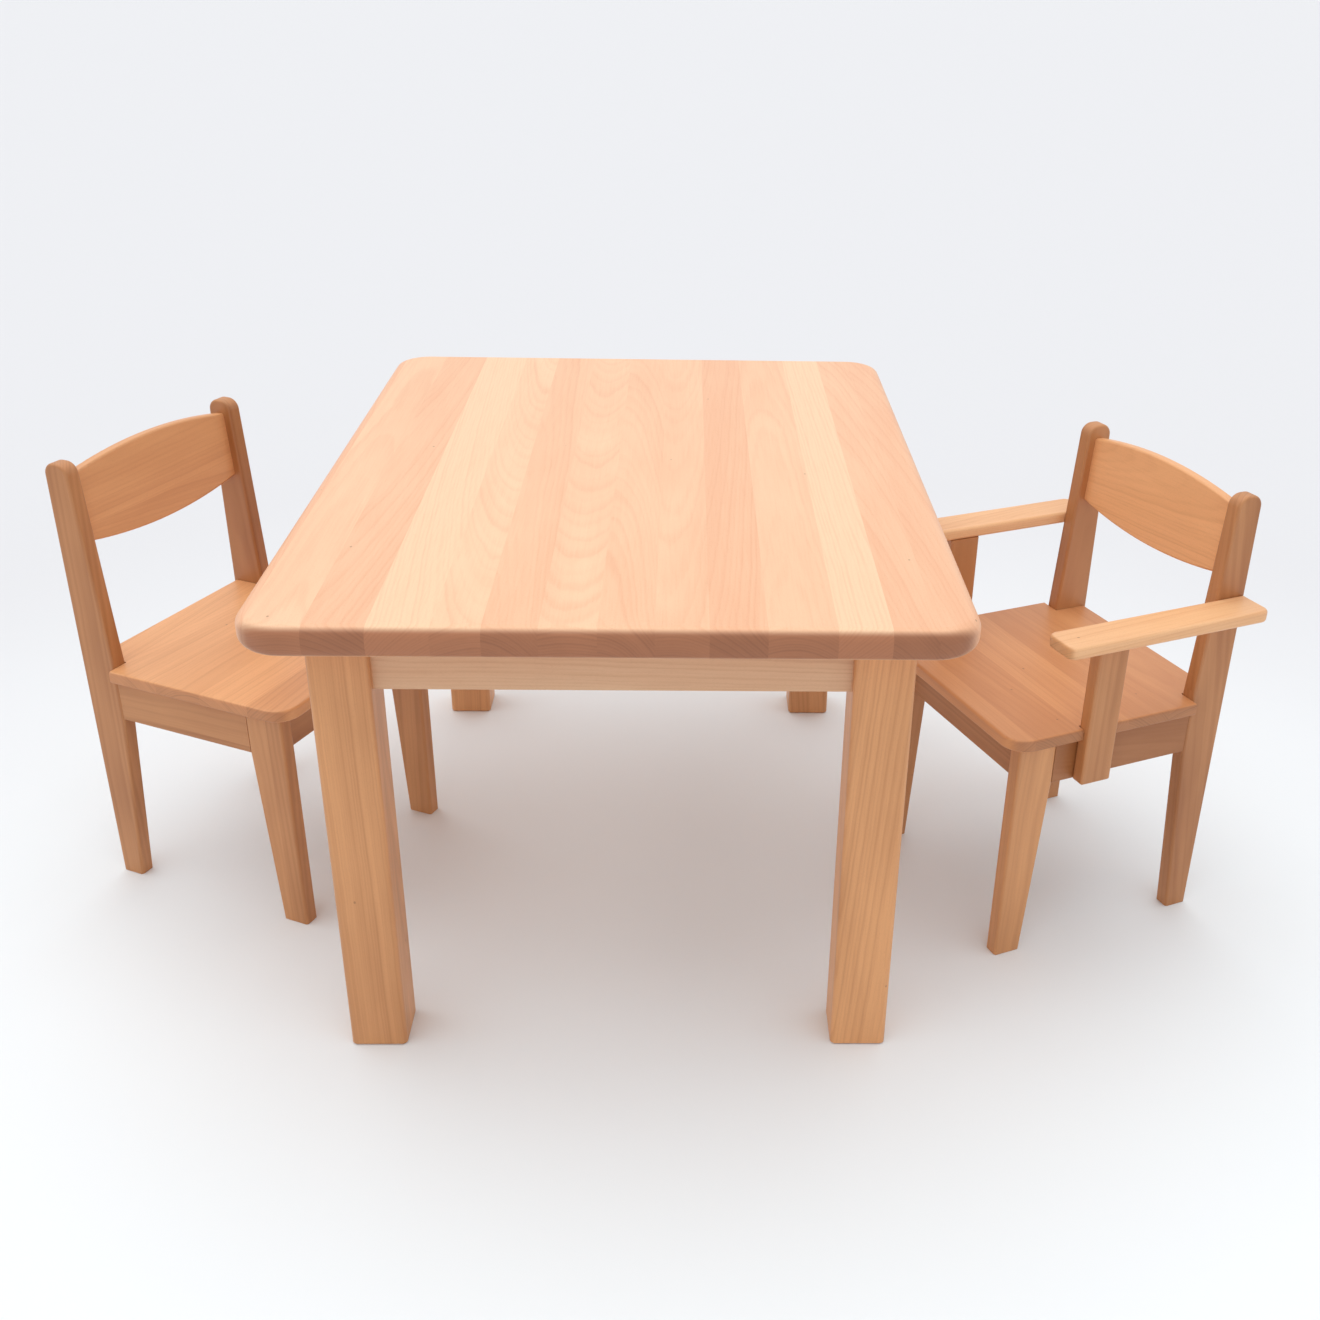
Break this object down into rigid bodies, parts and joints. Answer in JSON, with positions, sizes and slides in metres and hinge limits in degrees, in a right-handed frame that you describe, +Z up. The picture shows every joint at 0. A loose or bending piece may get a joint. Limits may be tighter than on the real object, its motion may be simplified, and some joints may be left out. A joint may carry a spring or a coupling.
{
  "type": "kids table and chairs",
  "caption": "Low rectangular beech table with square legs, a small side chair and a small armchair, each with a barrel-shaped backrest.",
  "frame": {"origin": "on the floor, at the middle of the set's own footprint", "axes": "+X from the side chair across the table to the armchair, +Y along the length of the table, +Z up"},
  "size_m": [1.1868, 0.8, 0.476],
  "materials": {
    "table_top_beech": "oiled, satin",
    "frame_beech": "oiled, satin",
    "seat_beech": "oiled, satin",
    "rest_beech": "oiled, satin",
    "block_beech": "oiled, satin",
    "dowel_beech": "oiled, satin",
    "steel_screws": "zinc plated"
  },
  "bodies": {
    "table": {"table_block_screws": "steel_screws", "table_corner_block_back_left": "block_beech", "table_corner_block_back_right": "block_beech", "table_corner_block_front_left": "block_beech", "table_corner_block_front_right": "block_beech", "table_dowels": "dowel_beech", "table_leg_back_left": "frame_beech", "table_leg_back_right": "frame_beech", "table_leg_front_left": "frame_beech", "table_leg_front_right": "frame_beech", "table_rail_back": "frame_beech", "table_rail_front": "frame_beech", "table_rail_left": "frame_beech", "table_rail_right": "frame_beech", "table_top": "table_top_beech", "table_top_screws": "steel_screws"},
    "side_chair": {"side_chair_back_apron": "frame_beech", "side_chair_back_post_left": "frame_beech", "side_chair_back_post_right": "frame_beech", "side_chair_backrest": "rest_beech", "side_chair_corner_block_back_left": "block_beech", "side_chair_corner_block_back_right": "block_beech", "side_chair_corner_block_front_left": "block_beech", "side_chair_corner_block_front_right": "block_beech", "side_chair_dowels": "dowel_beech", "side_chair_front_apron": "frame_beech", "side_chair_front_leg_left": "frame_beech", "side_chair_front_leg_right": "frame_beech", "side_chair_seat": "seat_beech", "side_chair_seat_screws": "steel_screws", "side_chair_side_apron_left": "frame_beech", "side_chair_side_apron_right": "frame_beech"},
    "armchair": {"armchair_arm_dowels": "dowel_beech", "armchair_arm_post_left": "frame_beech", "armchair_arm_post_right": "frame_beech", "armchair_arm_screws": "steel_screws", "armchair_armrest_left": "rest_beech", "armchair_armrest_right": "rest_beech", "armchair_back_apron": "frame_beech", "armchair_back_post_left": "frame_beech", "armchair_back_post_right": "frame_beech", "armchair_backrest": "rest_beech", "armchair_corner_block_back_left": "block_beech", "armchair_corner_block_back_right": "block_beech", "armchair_corner_block_front_left": "block_beech", "armchair_corner_block_front_right": "block_beech", "armchair_dowels": "dowel_beech", "armchair_front_apron": "frame_beech", "armchair_front_leg_left": "frame_beech", "armchair_front_leg_right": "frame_beech", "armchair_seat": "seat_beech", "armchair_seat_screws": "steel_screws", "armchair_side_apron_left": "frame_beech", "armchair_side_apron_right": "frame_beech"}
  },
  "joints": [
    {"name": "side_chair_slide", "type": "slide", "parent": "table", "child": "side_chair", "axis": [0.9121, -0.4099, 0], "range_m": [-0.3, 0.14]},
    {"name": "armchair_slide", "type": "slide", "parent": "table", "child": "armchair", "axis": [-0.9232, -0.3843, 0], "range_m": [-0.3, 0.14]}
  ]
}
